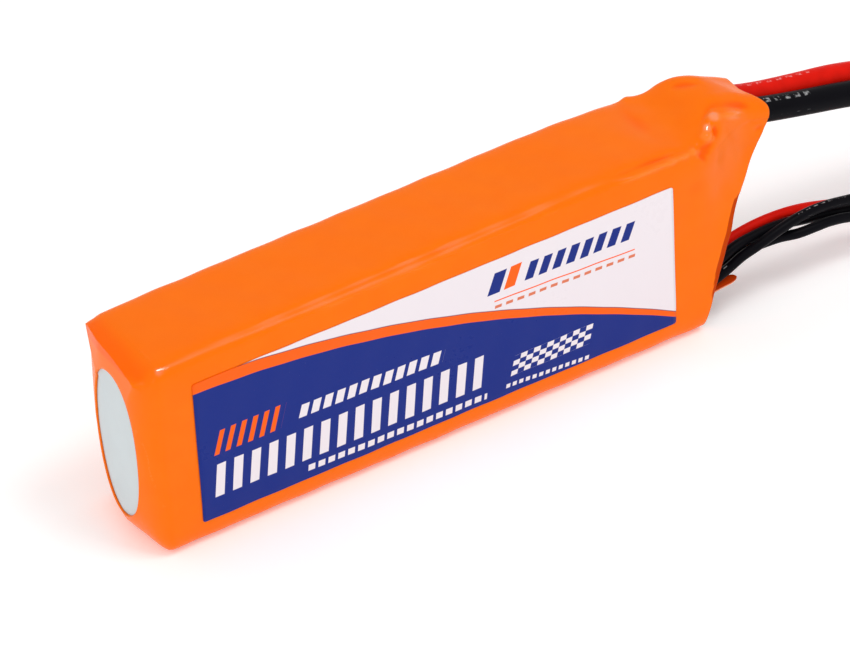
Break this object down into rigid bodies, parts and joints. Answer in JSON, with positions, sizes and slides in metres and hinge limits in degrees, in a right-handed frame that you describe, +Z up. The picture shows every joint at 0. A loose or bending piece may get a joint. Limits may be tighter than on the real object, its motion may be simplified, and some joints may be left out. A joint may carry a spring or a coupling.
{
  "type": "lithium-polymer battery pack",
  "caption": "Brick-shaped lithium-polymer battery pack in shrink film, with pouch cells inside, thick power leads to a two-pole plug and thin balance leads to a small white plug.",
  "frame": {"origin": "middle of the footprint that the pack stands on, on its narrow side", "axes": "+X along the pack towards its leads, -Y out of the labelled wide face, +Z up"},
  "size_m": [0.2547, 0.0298, 0.0421],
  "materials": {
    "shrink_film": "glossy heat-shrunk PVC film",
    "label_print": "glossy printed film",
    "end_pad": "smooth matte fibre board",
    "lead_red": "satin silicone",
    "lead_black": "satin silicone",
    "sleeve_red": "satin shrink tube",
    "sleeve_black": "satin shrink tube",
    "plug_yellow": "moulded nylon",
    "plug_white": "moulded nylon",
    "gold_contact": "gold-plated",
    "tin_contact": "tin-plated",
    "pouch_foil": "laminated foil",
    "aluminium_tab": "bare strip",
    "nickel_tab": "bare strip",
    "solder": "bright solder",
    "band_tape": "polyimide tape",
    "cell_tape": "double-sided tape",
    "fibre_sheet": "fibre sheet",
    "board": "solder-masked board",
    "foam": "closed-cell foam"
  },
  "bodies": {
    "root": {"shrink_sleeve": "shrink_film", "label": "label_print", "end_pad": "end_pad", "cell_1": "pouch_foil", "cell_1_positive_tab": "aluminium_tab", "cell_1_negative_tab": "nickel_tab", "cell_2": "pouch_foil", "cell_2_positive_tab": "aluminium_tab", "cell_2_negative_tab": "nickel_tab", "cell_3": "pouch_foil", "cell_3_positive_tab": "aluminium_tab", "cell_3_negative_tab": "nickel_tab", "cell_tape_1": "cell_tape", "cell_tape_2": "cell_tape", "front_band": "band_tape", "rear_band": "band_tape", "tab_sheet": "fibre_sheet", "wiring_board": "board", "tab_joint_1_2": "solder", "tab_joint_2_3": "solder", "tab_joint_positive": "solder", "tab_joint_negative": "solder", "rear_foam_pad": "foam", "main_joint_black": "solder", "main_joint_red": "solder", "main_lead_black": "lead_black", "main_lead_red": "lead_red", "balance_lead_1": "lead_red", "balance_joint_1": "solder", "balance_contact_1": "tin_contact", "balance_lead_2": "lead_black", "balance_joint_2": "solder", "balance_contact_2": "tin_contact", "balance_lead_3": "lead_black", "balance_joint_3": "solder", "balance_contact_3": "tin_contact", "balance_lead_4": "lead_black", "balance_joint_4": "solder", "balance_contact_4": "tin_contact", "main_plug_housing": "plug_yellow", "main_contact_black": "gold_contact", "main_contact_red": "gold_contact", "joint_sleeve_black": "sleeve_black", "joint_sleeve_red": "sleeve_red", "balance_plug_housing": "plug_white"}
  },
  "joints": []
}
